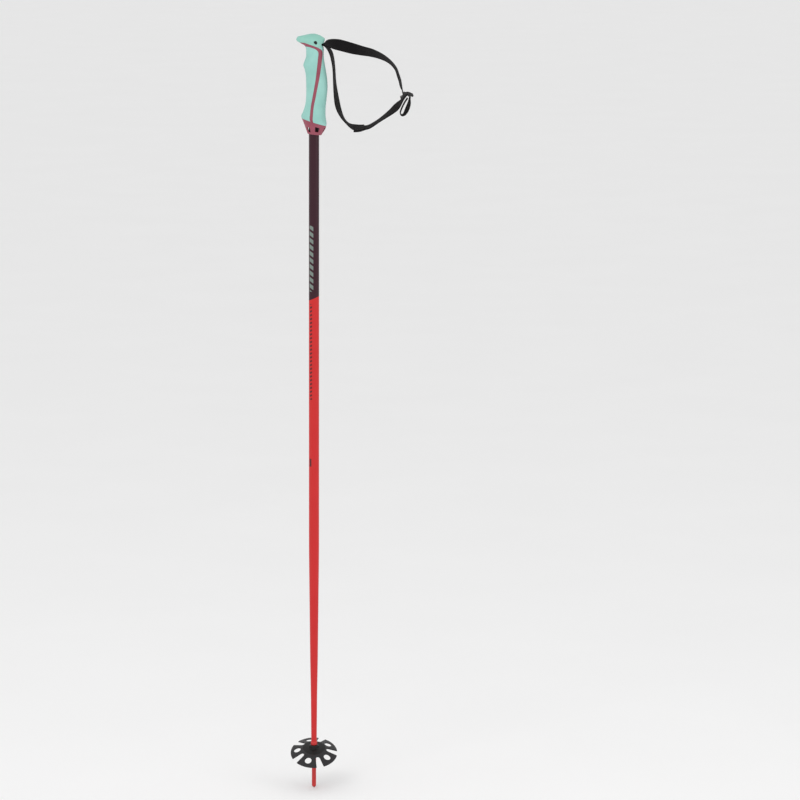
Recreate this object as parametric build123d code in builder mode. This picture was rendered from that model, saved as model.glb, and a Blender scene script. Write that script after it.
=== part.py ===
"""Alpine ski pole: tapered tube, two-material grip, adjustable wrist strap, five-petal basket, tip.

Millimetres. +Z runs up the shaft from the tip's end face at the origin. The grip's beak faces -X
and the wrist strap leaves the grip at +X.
"""

import os
from math import cos, hypot, radians, sin

from build123d import *

os.makedirs("parts", exist_ok=True)

# ---- Driving dimensions -------------------------------------------------------------------------

pole_length = 1350.0  # tip face to the top of the grip

shaft_r = 9.0
shaft_wall = 1.2
taper_top = 437.0  # the straight tube ends and the swaged taper starts
taper_steps = [(236.0, 6.85), (169.0, 5.65)]  # height and radius where the taper changes slope
shaft_foot_z = 86.0
shaft_foot_r = 4.9
shaft_top_depth = 38.0  # top of the tube, below the top of the grip
plug_length = 20.0
plug_rim = 1.5

tip_r = 3.85
tip_insert_r = 1.5
tip_insert_length = 16.0
tip_insert_stand_out = 1.6
tip_nose = 3.0  # height of the ferrule's rounded end
tip_nose_r = 2.4  # its radius at the very end
ferrule_stem = 26.0  # reach of the ferrule into the tube
collar_r = 5.8
edge_chamfer = 1.0  # ends of the plug and the ferrule's collar

basket_rim_r = 41.8
basket_rim_z = 63.0  # underside of the rim, on the shaft's axis
basket_disc_r = 21.2
basket_disc_rise = 10.4  # disc above the rim
basket_wall = 2.2
basket_boss_r = 8.6
basket_boss_rise = 16.0
basket_boss_chamfer = 1.2
basket_dish = 1.6  # disc thickens towards the boss
basket_tilt = 24.0  # degrees, petals low at -Y while the hub stays square to the shaft
basket_hub_drop = 2.0  # hub below the rim
basket_petals = 5
basket_first_slot = -74.4  # degrees about +Z
slot_inner_r = 26.2  # centre of a slot's round inner end
slot_inner_half = 4.0
slot_outer_half = 7.0
petal_hole_r = 5.9
petal_hole_at = 29.8
seat_clearance = 0.3  # basket bore over the ferrule's seat
seat_top_r = 5.1
seat_foot_r = 4.2

core_r = 11.6  # hard sleeve of the grip round the tube
bell_ceiling = 2.5
bell_slope = 18.0  # degrees, flange low at the rear
bell_edge_depth = 153.0  # rim of the pads on the shaft axis, below the top of the grip
window_width = 8.0
window_height = 8.5
window_depth = 163.0  # centre of the bell's windows on the shaft axis
window_corner = 1.5
window_headings = (-135, -75, -15, 15, 75, 135)  # degrees about +Z
sleeve_foot_depth = 190.0
sleeve_top_depth = 26.0

pin_x = 2.8
pin_depth = 15.0  # strap screw below the top of the grip
barrel_r = 2.5
screw_r = 1.5
screw_head_r = 3.4
screw_head_height = 2.2
screw_seat_clearance = 0.6  # each head's seat stands this far out from the webbing's edge
screw_reach = 16.0
screw_head_fillet = 0.6
hex_socket_r = 1.5
hex_socket_depth = 1.4

webbing = 20.0
webbing_thick = 1.8
webbing_gap = 0.1  # between two layers of webbing
slot_play = 0.5
mouth_x = 15.7  # strap hinge line at the mouth of the slot
mouth_depth = 19.0
mouth_gap = 0.6  # webbing stops this far each side of the hinge line
root_sewn = 3.0  # the two layers are sewn together before the mouth

thread_row = 1.2
thread_height = 0.5
thread_inset = 1.5
thread_stand_off = 0.3

slider_bar_r = 1.5
slider_lug = 0.8  # rail round a bar's end
slider_rail = 2.2
slider_clearance = 0.5

# ---- Shared frames and helpers ------------------------------------------------------------------

grip_side = Plane(origin=(0, 0, pole_length), x_dir=(1, 0, 0), z_dir=(0, -1, 0))
far = 60.0  # half-depth of a cut that passes right through the grip


def write(name, made):
    """Label a finished piece and write it as its own file."""
    made.part.label = name
    export_step(made.part, f"parts/{name}.step")


def slant_plane(depth):
    """Plane of the flange: falls towards the rear by bell_slope."""
    tilt = radians(bell_slope)
    level = (0, 0, pole_length - depth)
    return Plane(origin=level, x_dir=(cos(tilt), 0, -sin(tilt)), z_dir=(sin(tilt), 0, cos(tilt)))


def ring_plane(front_x, front_depth, rear_x, rear_depth):
    """Plane of one grip section, centred between its front and rear points."""
    mid = ((front_x + rear_x) / 2, 0, pole_length - (front_depth + rear_depth) / 2)
    run = (rear_x - front_x, 0, front_depth - rear_depth)
    return Plane(origin=mid, x_dir=run, z_dir=(-run[2], 0, run[0]))


# ---- Shaft --------------------------------------------------------------------------------------

shaft_top_z = pole_length - shaft_top_depth
shaft_steps = [
    (shaft_foot_z, shaft_foot_r),
    *sorted(taper_steps),
    (taper_top, shaft_r),
    (shaft_top_z, shaft_r),
]
bore_foot_r = shaft_foot_r - shaft_wall
bore_top_r = shaft_r - shaft_wall

with BuildPart() as shaft:
    with BuildSketch(Plane.XZ):
        with BuildLine():
            outer = [(r, z) for z, r in shaft_steps]
            inner = [(r - shaft_wall, z) for z, r in reversed(shaft_steps)]
            Polyline(*outer, *inner, close=True)
        make_face()
    revolve(axis=Axis.Z)
write("shaft", shaft)

with BuildPart() as shaft_plug:
    with BuildSketch(Plane.XY.offset(shaft_top_z - plug_length)):
        Circle(bore_top_r)
    extrude(amount=plug_length)
    with BuildSketch(Plane.XY.offset(shaft_top_z)):
        Circle(shaft_r)
    extrude(amount=plug_rim)
    chamfer(shaft_plug.edges().group_by(Axis.Z)[0], length=edge_chamfer)
write("shaft_plug", shaft_plug)

# ---- Ferrule and tip ----------------------------------------------------------------------------

seat_top_z = basket_rim_z + basket_boss_rise
seat_foot_z = basket_rim_z - basket_hub_drop
collar_foot_z = seat_top_z + seat_clearance
collar_top_z = shaft_foot_z

with BuildPart() as ferrule:
    with BuildSketch(Plane.XZ):
        with BuildLine():
            nose_foot = tip_insert_stand_out
            Polyline(
                (0, nose_foot),
                (tip_nose_r, nose_foot),
                (tip_r, nose_foot + tip_nose),
                (tip_r, seat_foot_z - edge_chamfer),
                (seat_foot_r, seat_foot_z),
                (seat_top_r, seat_top_z),
                (collar_r, collar_foot_z),
                (collar_r, collar_top_z - edge_chamfer),
                (shaft_foot_r + 0.1, collar_top_z),
                (bore_foot_r, collar_top_z),
                (bore_foot_r, collar_top_z + ferrule_stem),
                (0, collar_top_z + ferrule_stem),
                close=True,
            )
        make_face()
    revolve(axis=Axis.Z)
    with Locations((0, 0, tip_insert_stand_out)):
        Cylinder(
            tip_insert_r,
            tip_insert_length,
            align=(Align.CENTER, Align.CENTER, Align.MIN),
            mode=Mode.SUBTRACT,
        )
write("ferrule", ferrule)

with BuildPart() as tip_insert:
    Cylinder(
        tip_insert_r,
        tip_insert_length + tip_insert_stand_out,
        align=(Align.CENTER, Align.CENTER, Align.MIN),
    )
    chamfer(tip_insert.edges().group_by(Axis.Z)[0], length=0.4)
write("tip_insert", tip_insert)

# ---- Basket -------------------------------------------------------------------------------------

slot_outer_r = basket_rim_r + 3.0  # past the rim
lean = radians(basket_tilt)
petal_centre = (0, 0, basket_rim_z)
petal_normal = (0, -sin(lean), cos(lean))
petal_plane = Plane(origin=petal_centre, x_dir=(1, 0, 0), z_dir=petal_normal)
petal_side = Plane(origin=petal_centre, x_dir=(1, 0, 0), z_dir=(0, -cos(lean), -sin(lean)))

with BuildSketch() as slot_outline:
    with Locations((slot_inner_r, 0)):
        Circle(slot_inner_half)
    with BuildLine():
        Polyline(
            (slot_inner_r, -slot_inner_half),
            (slot_outer_r, -slot_outer_half),
            (slot_outer_r, slot_outer_half),
            (slot_inner_r, slot_inner_half),
            close=True,
        )
    make_face()

with BuildPart() as basket:
    with BuildSketch(petal_side):
        with BuildLine():
            Polyline(
                (0, basket_disc_rise - basket_wall),
                (basket_disc_r, basket_disc_rise - basket_wall),
                (basket_rim_r, 0),
                (basket_rim_r, basket_wall),
                (basket_disc_r, basket_disc_rise),
                (basket_boss_r, basket_disc_rise + basket_dish),
                (0, basket_disc_rise + basket_dish),
                close=True,
            )
        make_face()
    revolve(axis=Axis(petal_centre, petal_normal))
    with BuildSketch(petal_plane.offset(-basket_rim_r)):
        with PolarLocations(0, basket_petals, start_angle=basket_first_slot):
            add(slot_outline.sketch)
        first_hole = basket_first_slot + 180 / basket_petals
        with PolarLocations(petal_hole_at, basket_petals, start_angle=first_hole):
            Circle(petal_hole_r)
    extrude(amount=2 * basket_rim_r, mode=Mode.SUBTRACT)
    with BuildSketch(Plane.XZ):
        with BuildLine():
            Polyline(
                (0, seat_foot_z),
                (basket_boss_r, seat_foot_z),
                (basket_boss_r, seat_top_z - basket_boss_chamfer),
                (basket_boss_r - basket_boss_chamfer, seat_top_z),
                (0, seat_top_z),
                close=True,
            )
        make_face()
    revolve(axis=Axis.Z)
    with BuildSketch(Plane.XZ):
        with BuildLine():
            Polyline(
                (0, seat_foot_z),
                (seat_foot_r + seat_clearance, seat_foot_z),
                (seat_top_r + seat_clearance, seat_top_z),
                (0, seat_top_z),
                close=True,
            )
        make_face()
    revolve(axis=Axis.Z, mode=Mode.SUBTRACT)
write("basket", basket)

# ---- Grip ---------------------------------------------------------------------------------------

# One section per row: front x and depth, rear x and depth below the grip's top, half-width.
grip_sections = [
    (-11.0, 173.5, 12.8, 176.0, 12.2),
    (-18.8, 152.0, 20.9, 161.3, 19.5),
    (-22.0, 143.7, 21.7, 155.1, 20.8),
    (-18.8, 135.1, 20.2, 146.0, 18.0),
    (-14.7, 121.3, 19.9, 130.0, 15.8),
    (-13.4, 105.8, 21.5, 114.0, 15.2),
    (-13.4, 87.3, 23.3, 90.5, 15.6),
    (-14.1, 72.0, 22.1, 75.1, 15.4),
    (-16.2, 61.3, 19.8, 60.5, 14.8),
    (-18.3, 54.2, 18.5, 53.0, 14.5),
    (-16.2, 47.3, 17.4, 45.5, 14.2),
    (-13.6, 39.7, 16.7, 38.0, 14.0),
    (-13.4, 32.0, 16.6, 32.0, 13.9),
]
# Head in side view: x and height from the grip's top.
head_underside = [
    (-13.4, -32.0),
    (-14.1, -24.2),
    (-15.7, -21.1),
    (-19.5, -18.9),
    (-25.7, -15.1),
    (-30.3, -11.2),
]
head_top = [(-30.3, -11.2), (-28.1, -5.5), (-16.6, -2.7), (-2.6, 0.0), (8.1, -2.4), (18.1, -8.1)]
head_rear = [(18.1, -8.1), (18.6, -10.5), (17.4, -14.3), (15.7, -19.0), (16.9, -25.8), (16.6, -32.0)]
head_half_width = 14.6
# Half of the head from above, from its rear to the beak's tip: x and y.
head_plan = [(18.6, 0), (16.0, 10.0), (6.0, head_half_width), (-10.0, 13.0), (-24.0, 9.0), (-30.5, 0)]
# Crown of the head seen along the beak: y and height from the grip's top.
head_crown = [(-head_half_width, -14.0), (-9.0, -3.6), (0, 0.2), (9.0, -3.6), (head_half_width, -14.0)]
head_reach = 40.0  # past the head, below it and in front of it

with BuildPart() as handle:
    for front_x, front_depth, rear_x, rear_depth, half in grip_sections:
        section_plane = ring_plane(front_x, front_depth, rear_x, rear_depth)
        with BuildSketch(section_plane):
            Ellipse(hypot(rear_x - front_x, rear_depth - front_depth) / 2, half)
    loft()

with BuildPart() as head:
    with BuildSketch(grip_side):
        with BuildLine():
            Polyline(*head_underside)
            Spline(*head_top)
            Polyline(*head_rear)
            Line(head_rear[-1], head_underside[0])
        make_face()
    extrude(amount=head_half_width, both=True)
    with BuildSketch(Plane.XY.offset(pole_length - head_reach)):
        with BuildLine():
            Spline(*head_plan, *[(x, -y) for x, y in reversed(head_plan[1:-1])], periodic=True)
        make_face()
    extrude(amount=far, mode=Mode.INTERSECT)
    with BuildSketch(Plane(origin=(-head_reach, 0, pole_length), x_dir=(0, 1, 0), z_dir=(1, 0, 0))):
        with BuildLine():
            crown = Spline(*head_crown)
            foot = [(head_half_width, -head_reach), (-head_half_width, -head_reach)]
            Polyline(crown @ 1, *foot, crown @ 0)
        make_face()
    extrude(amount=2 * head_reach, mode=Mode.INTERSECT)

with BuildPart() as envelope:
    add(handle.part)
    add(head.part)

cap_corner = (4.6, -22.8)  # where cap, band and rear pad meet
# Borders of the band in side view: x and height from the grip's top.
band_top = [
    (-17.2, -15.1),
    (-8.8, -17.9),
    (0.5, -21.0),
    cap_corner,
    (8.1, -24.3),
    (12.8, -27.7),
    (15.0, -32.0),
]
band_rear = [
    (14.0, -44.2),
    (12.1, -59.7),
    (9.0, -78.2),
    (5.3, -96.6),
    (2.1, -113.5),
    (-0.3, -124.4),
    (-0.9, -140.0),
]
band_foot = [(-0.9, -170.0), (-5.7, -170.0)]
band_front = [
    (-5.7, -139.7),
    (-5.3, -124.4),
    (-3.4, -113.5),
    (-0.3, -96.6),
    (2.8, -78.2),
    (5.0, -59.7),
    (6.6, -41.1),
]
band_under = [
    (7.4, -33.5),
    (6.6, -29.6),
    (2.8, -26.6),
    (-4.1, -23.5),
    (-13.4, -22.0),
    (-35.0, -22.0),
    (-35.0, -15.1),
]
cap_edge = [(-35.0, -15.1), *band_top[:4], (25.0, -22.6)]
cap_over = [(25.0, 10.0), (-35.0, 10.0)]
front_over = [(-5.7, -180.0), (-40.0, -180.0), (-40.0, -22.0)]
rear_over = [(-0.9, -180.0), (40.0, -180.0)]
# Hollow of the bell at its foot and under its ceiling, laid out as the sections above.
hollow_sections = [(-9.2, 169.0, 11.2, 171.5, 10.4), (-19.5, 146.5, 19.3, 159.0, 18.4)]
pads_floor = slant_plane(bell_edge_depth)


def side_region(points):
    """Solid block through the grip with this outline in side view, as a tool for cutting."""
    with BuildPart() as block:
        with BuildSketch(grip_side):
            with BuildLine():
                Polyline(*points, close=True)
            make_face()
        extrude(amount=far, both=True)
    return block.part


band_outline = band_top + band_rear + band_foot + band_front + band_under
band_block = side_region(band_outline)
cap_block = side_region(cap_edge + cap_over)
front_block = side_region([*reversed(band_under[:5]), *reversed(band_front), *front_over])
rear_block = side_region([cap_edge[-1], *band_top[3:], *band_rear, *rear_over])

with BuildPart() as sleeve:
    with BuildSketch(Plane.XY.offset(pole_length - sleeve_foot_depth)):
        Circle(core_r)
    extrude(amount=sleeve_foot_depth - sleeve_top_depth)
    split(bisect_by=slant_plane(bell_edge_depth + bell_ceiling), keep=Keep.TOP)
    add(cap_block, mode=Mode.SUBTRACT)

with BuildPart() as bell_hollow:
    for front_x, front_depth, rear_x, rear_depth, half in hollow_sections:
        section_plane = ring_plane(front_x, front_depth, rear_x, rear_depth)
        with BuildSketch(section_plane):
            Ellipse(hypot(rear_x - front_x, rear_depth - front_depth) / 2, half)
    loft()
    split(bisect_by=slant_plane(bell_edge_depth + bell_ceiling), keep=Keep.BOTTOM)

with BuildPart() as bell:
    add(envelope.part)
    split(bisect_by=pads_floor, keep=Keep.BOTTOM)
    add(bell_hollow.part, mode=Mode.SUBTRACT)
    for heading in window_headings:
        outward = (cos(radians(heading)), sin(radians(heading)), 0)
        sideways = (-outward[1], outward[0], 0)
        window_plane = Plane(origin=(0, 0, pole_length - window_depth), x_dir=sideways, z_dir=outward)
        with BuildSketch(window_plane):
            RectangleRounded(window_width, window_height, window_corner)
        extrude(amount=far, mode=Mode.SUBTRACT)

with BuildPart() as shaft_socket:
    Cylinder(shaft_r, shaft_top_z + plug_rim, align=(Align.CENTER, Align.CENTER, Align.MIN))

with BuildPart() as grip_frame:
    add(band_block)
    add(envelope.part, mode=Mode.INTERSECT)
    split(bisect_by=slant_plane(bell_edge_depth + bell_ceiling / 2), keep=Keep.TOP)
    add(sleeve.part)
    add(bell.part)
    add(shaft_socket.part, mode=Mode.SUBTRACT)
write("grip_frame", grip_frame)

with BuildPart() as front_pad:
    add(envelope.part)
    add(front_block, mode=Mode.INTERSECT)
    split(bisect_by=pads_floor, keep=Keep.TOP)
    add(sleeve.part, mode=Mode.SUBTRACT)
    add(shaft_socket.part, mode=Mode.SUBTRACT)
write("front_pad", front_pad)

with BuildPart() as rear_pad:
    add(envelope.part)
    add(rear_block, mode=Mode.INTERSECT)
    split(bisect_by=pads_floor, keep=Keep.TOP)
    add(sleeve.part, mode=Mode.SUBTRACT)
    add(shaft_socket.part, mode=Mode.SUBTRACT)
write("rear_pad", rear_pad)

# ---- Head cap, strap screw and the webbing's eye inside -----------------------------------------

pin_z = pole_length - pin_depth
mouth_z = pole_length - mouth_depth
screw_seat_y = webbing / 2 + screw_seat_clearance  # each side of the middle
eye_r = barrel_r + webbing_thick
eye_end_x = mouth_x - mouth_gap
pair_half = webbing_thick + webbing_gap / 2
pin_axis = Plane(origin=(pin_x, 0, pin_z), x_dir=(1, 0, 0), z_dir=(0, -1, 0))


def pinched_outline(round_r, end_x, end_half):
    """Face from round the screw to the slot's mouth, in the pin plane's own coordinates."""
    drop = mouth_z - pin_z
    with BuildSketch() as outline:
        with BuildLine():
            CenterArc((0, 0), round_r, 0, 360)
            Line((end_x - pin_x, drop + end_half), (end_x - pin_x, drop - end_half))
        make_hull()
    return outline.sketch


with BuildPart() as slot_cavity:
    with BuildSketch(pin_axis):
        add(pinched_outline(eye_r + slot_play, mouth_x, pair_half + slot_play))
        with Locations((mouth_x - pin_x, mouth_z - pin_z)):
            Rectangle(far, 2 * (pair_half + slot_play), align=(Align.MIN, Align.CENTER))
    extrude(amount=webbing / 2 + slot_play, both=True)

with BuildPart() as head_cap:
    add(envelope.part)
    add(cap_block, mode=Mode.INTERSECT)
    add(slot_cavity.part, mode=Mode.SUBTRACT)
    with BuildSketch(pin_axis):
        Circle(barrel_r)
    extrude(amount=far, both=True, mode=Mode.SUBTRACT)
    for side in (-1, 1):
        with BuildSketch(pin_axis.offset(side * screw_seat_y)):
            Circle(screw_head_r)
        extrude(amount=side * far, mode=Mode.SUBTRACT)
write("head_cap", head_cap)

with BuildPart() as strap_barrel:
    with BuildSketch(pin_axis.offset(-screw_seat_y)):
        Circle(barrel_r)
    extrude(amount=2 * screw_seat_y)
    with BuildSketch(pin_axis.offset(-screw_seat_y)):
        Circle(screw_head_r)
    extrude(amount=-screw_head_height)
    with BuildSketch(pin_axis.offset(screw_seat_y - screw_reach)):
        Circle(screw_r)
    extrude(amount=screw_reach, mode=Mode.SUBTRACT)
write("strap_barrel", strap_barrel)

with BuildPart() as strap_screw:
    with BuildSketch(pin_axis.offset(screw_seat_y)):
        Circle(screw_head_r)
    extrude(amount=screw_head_height)
    fillet(strap_screw.edges().group_by(Axis.Y)[0], radius=screw_head_fillet)
    with BuildSketch(pin_axis.offset(screw_seat_y + screw_head_height)):
        RegularPolygon(hex_socket_r, 6)
    extrude(amount=-hex_socket_depth, mode=Mode.SUBTRACT)
    with BuildSketch(pin_axis.offset(screw_seat_y)):
        Circle(screw_r)
    extrude(amount=-screw_reach)
write("strap_screw", strap_screw)

with BuildPart() as strap_root:
    with BuildSketch(pin_axis):
        add(pinched_outline(eye_r, eye_end_x, pair_half))
        add(pinched_outline(barrel_r, eye_end_x - root_sewn, webbing_gap / 2), mode=Mode.SUBTRACT)
    extrude(amount=webbing / 2, both=True)
write("strap_root", strap_root)

# ---- Wrist strap --------------------------------------------------------------------------------

# Stations of each run of webbing: x, depth below the grip's top, and the turn of its width away
# from Y, in degrees; a positive turn brings the edge at -Y to the outside of the wrist loop.
layer = (webbing_thick + webbing_gap) / 2
upper_stations = [
    (mouth_x + mouth_gap, mouth_depth - layer, 0),
    (22.0, 17.4, -30),
    (29.0, 17.2, -45),
    (37.0, 18.5, -62),
    (46.2, 20.3, -72),
    (64.5, 25.3, -68),
    (82.4, 29.6, -50),
    (100.7, 33.6, -38),
    (118.6, 40.6, -24),
    (132.4, 49.7, -13),
    (141.9, 60.9, -5),
    (145.8, 71.8, 0),
    (149.1, 81.6, 0),
    (151.1, 91.5, 0),
    (153.6, 98.5, 0),
]
grip_stations = [
    (mouth_x + mouth_gap, mouth_depth + layer, 0),
    (20.0, 21.8, 5),
    (24.5, 25.6, 11),
    (28.5, 31.5, 12),
    (31.5, 40.6, 9),
    (33.9, 55.0, 8),
    (34.9, 67.0, 8),
    (35.9, 85.0, 12),
    (37.8, 103.4, 20),
    (40.6, 121.5, 25),
    (44.2, 134.0, 21),
    (50.2, 146.5, 10),
    (57.0, 154.8, 6),
    (63.5, 159.8, 14),
    (70.0, 162.4, 25),
    (79.0, 163.2, 24),
    (88.0, 161.6, 16),
]
lower_stations = [
    (97.0, 161.0, 13),
    (113.4, 150.6, 10),
    (132.4, 136.8, 21),
    (141.5, 128.8, 29),
    (147.5, 122.2, 22),
    (152.4, 116.2, 9),
    (156.8, 110.9, 2),
]
tail_stations = [
    (166.2, 112.6, 0),
    (165.4, 120.0, 0),
    (163.1, 127.5, 0),
    (160.0, 134.8, 0),
    (157.0, 139.6, 0),
    (153.6, 141.6, 0),
    (150.6, 140.4, 0),
    (149.8, 136.6, 0),
    (152.6, 128.7, 0),
    (158.0, 118.0, 0),
    (162.4, 111.6, 0),
]

slider_bow = [(151.6, -112.6), (155.6, -106.4), (160.8, -102.8), (166.2, -103.4), (171.6, -107.2)]
foot_bar = (152.0, 110.6)
eye_bar = (156.6, 104.0)  # the upper run is sewn round this bar
grip_bar = (164.6, 105.4)  # the adjustable run turns over this bar
lip_bar = (170.2, 106.4)
slider_bars = (foot_bar, eye_bar, grip_bar, lip_bar)


def heading_of(stations, turn_side):
    """Unit travel direction and outward normal at each station, in the XZ plane."""
    frames = []
    for i in range(len(stations)):
        before, after = stations[max(i - 1, 0)], stations[min(i + 1, len(stations) - 1)]
        run_x, run_z = after[0] - before[0], before[1] - after[1]
        size = hypot(run_x, run_z)
        travel = (run_x / size, run_z / size)
        frames.append((travel, (-travel[1] * turn_side, travel[0] * turn_side)))
    return frames


def ribbon(stations, turn_side):
    """Webbing lofted through its stations; turn_side is +1 where the loop lies to the right."""
    with BuildPart() as band:
        for (x, depth, turn, *shift), (travel, outward) in zip(stations, heading_of(stations, turn_side)):
            lean, square = sin(radians(turn)), cos(radians(turn))
            across = (outward[0] * lean, -square, outward[1] * lean)
            place = (x, shift[0] if shift else 0, pole_length - depth)
            with BuildSketch(Plane(origin=place, x_dir=across, z_dir=(travel[0], 0, travel[1]))):
                Rectangle(webbing, webbing_thick)
        loft(ruled=True)
    return band


def wrap(bar, start_angle, end_angle, steps):
    """Stations round a bar, at the middle of the webbing."""
    round_r = slider_bar_r + webbing_gap + webbing_thick / 2
    angles = [start_angle + (end_angle - start_angle) * i / steps for i in range(steps + 1)]
    return [(bar[0] + round_r * cos(radians(a)), bar[1] - round_r * sin(radians(a)), 0) for a in angles]


def stacked(stations, turn_side):
    """The same stations, one layer further out."""
    out = []
    step = webbing_thick + webbing_gap
    for (x, depth, turn), (_, outward) in zip(stations, heading_of(stations, turn_side)):
        lean, square = sin(radians(turn)), cos(radians(turn))
        out.append((x + step * square * outward[0], depth - step * square * outward[1], turn, step * lean))
    return out


def tacks(stations, turn_side, places, face):
    """Rows of thread across the webbing at the named stations; face +1 is inside the wrist loop."""
    frames = heading_of(stations, turn_side)
    rise = webbing_thick / 2 + thread_stand_off
    with BuildPart() as rows:
        for i in places:
            (x, depth, turn), (travel, outward) = stations[i][:3], frames[i]
            lean, square = sin(radians(turn)), cos(radians(turn))
            normal = (-outward[0] * square * face, -lean * face, -outward[1] * square * face)
            across = (outward[0] * lean, -square, outward[1] * lean)
            place = (x + normal[0] * rise, normal[1] * rise, pole_length - depth + normal[2] * rise)
            with BuildSketch(Plane(origin=place, x_dir=across, z_dir=normal)):
                Rectangle(webbing - 2 * thread_inset, thread_row)
            extrude(amount=thread_height)
    return rows


overlap = stacked(grip_stations, -1)[-3:]
strap_upper_run = ribbon(upper_stations + wrap(eye_bar, 165, 435, 9), 1)
write("strap_upper_run", strap_upper_run)
strap_grip_run = ribbon(grip_stations, -1)
write("strap_grip_run", strap_grip_run)
strap_lower_run = ribbon(overlap + lower_stations + wrap(grip_bar, 200, -10, 7), -1)
write("strap_lower_run", strap_lower_run)
strap_tail_loop = ribbon(tail_stations, 1)
write("strap_tail_loop", strap_tail_loop)

rail_inside = webbing / 2 + slider_clearance
with BuildPart() as strap_slider:
    for side in (-1, 1):
        with BuildSketch(grip_side.offset(side * rail_inside)):
            with BuildLine():
                Spline(*slider_bow)
            trace(line_width=slider_rail)
            with Locations(*[(bar_x, -bar_depth) for bar_x, bar_depth in slider_bars]):
                Circle(slider_bar_r + slider_lug)
        extrude(amount=side * slider_rail)
    for bar_x, bar_depth in slider_bars:
        with BuildSketch(grip_side.offset(-rail_inside)):
            with Locations((bar_x, -bar_depth)):
                Circle(slider_bar_r)
        extrude(amount=2 * rail_inside)
write("strap_slider", strap_slider)

write("overlap_stitching", tacks(grip_stations, -1, (-3, -2), 1))
write("slider_stitching", tacks(upper_stations, 1, (-3, -2), -1))
write("tail_stitching", tacks(tail_stations, 1, (1,), 1))
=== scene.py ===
import math

import bmesh
import bpy
import numpy as np
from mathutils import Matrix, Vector


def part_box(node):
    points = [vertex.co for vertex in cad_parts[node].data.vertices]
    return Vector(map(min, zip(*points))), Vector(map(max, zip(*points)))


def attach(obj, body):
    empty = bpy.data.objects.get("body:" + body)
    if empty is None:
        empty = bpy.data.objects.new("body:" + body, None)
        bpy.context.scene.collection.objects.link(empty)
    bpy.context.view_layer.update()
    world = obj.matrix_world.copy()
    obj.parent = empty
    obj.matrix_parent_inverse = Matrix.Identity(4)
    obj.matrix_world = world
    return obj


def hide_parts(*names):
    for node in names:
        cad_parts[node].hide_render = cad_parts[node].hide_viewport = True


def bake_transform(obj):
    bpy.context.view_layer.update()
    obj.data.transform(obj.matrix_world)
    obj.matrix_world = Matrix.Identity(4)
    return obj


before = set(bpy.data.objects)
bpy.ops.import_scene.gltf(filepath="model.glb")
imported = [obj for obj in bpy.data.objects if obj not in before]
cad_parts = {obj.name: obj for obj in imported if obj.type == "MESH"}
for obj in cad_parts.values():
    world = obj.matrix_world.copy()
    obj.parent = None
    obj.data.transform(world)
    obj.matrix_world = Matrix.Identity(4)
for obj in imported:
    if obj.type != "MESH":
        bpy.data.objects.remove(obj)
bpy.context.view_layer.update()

# Alpine ski pole. Metres, +Z up the shaft from the tip, beak at -X, wrist strap at +X.
# Tables are in millimetres, with heights counted from the top of the grip.

MM = 0.001
grip_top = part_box("head_cap")[1].z


# ---- Camera and light ---------------------------------------------------------------------------

camera_distance = 6.0
camera_height = 1.75
camera_pitch = 9.868  # degrees below the horizon
camera_lens = 155.5
camera_shift = 0.1075  # the pole stands left of the middle of the frame


def set_camera():
    data = bpy.data.cameras.new("camera")
    data.lens = camera_lens
    data.shift_x = camera_shift
    data.clip_end = 100.0
    camera = bpy.data.objects.new("camera", data)
    camera.location = (0, -camera_distance, camera_height)
    camera.rotation_euler = (math.radians(90 - camera_pitch), 0, 0)
    bpy.context.scene.collection.objects.link(camera)
    bpy.context.scene.camera = camera


def add_light(name, place, target, size, power):
    data = bpy.data.lights.new(name, "AREA")
    data.shape = "DISK"
    data.size = size
    data.energy = power
    lamp = bpy.data.objects.new(name, data)
    lamp.location = place
    aim = Vector(target) - Vector(place)
    lamp.rotation_euler = aim.to_track_quat("-Z", "Y").to_euler()
    bpy.context.scene.collection.objects.link(lamp)


def set_world(strength):
    world = bpy.data.worlds.new("studio")
    world.use_nodes = True
    background = world.node_tree.nodes["Background"]
    background.inputs["Color"].default_value = (1.0, 1.0, 1.0, 1.0)
    background.inputs["Strength"].default_value = strength
    bpy.context.scene.world = world


# ---- Materials ----------------------------------------------------------------------------------


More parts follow.
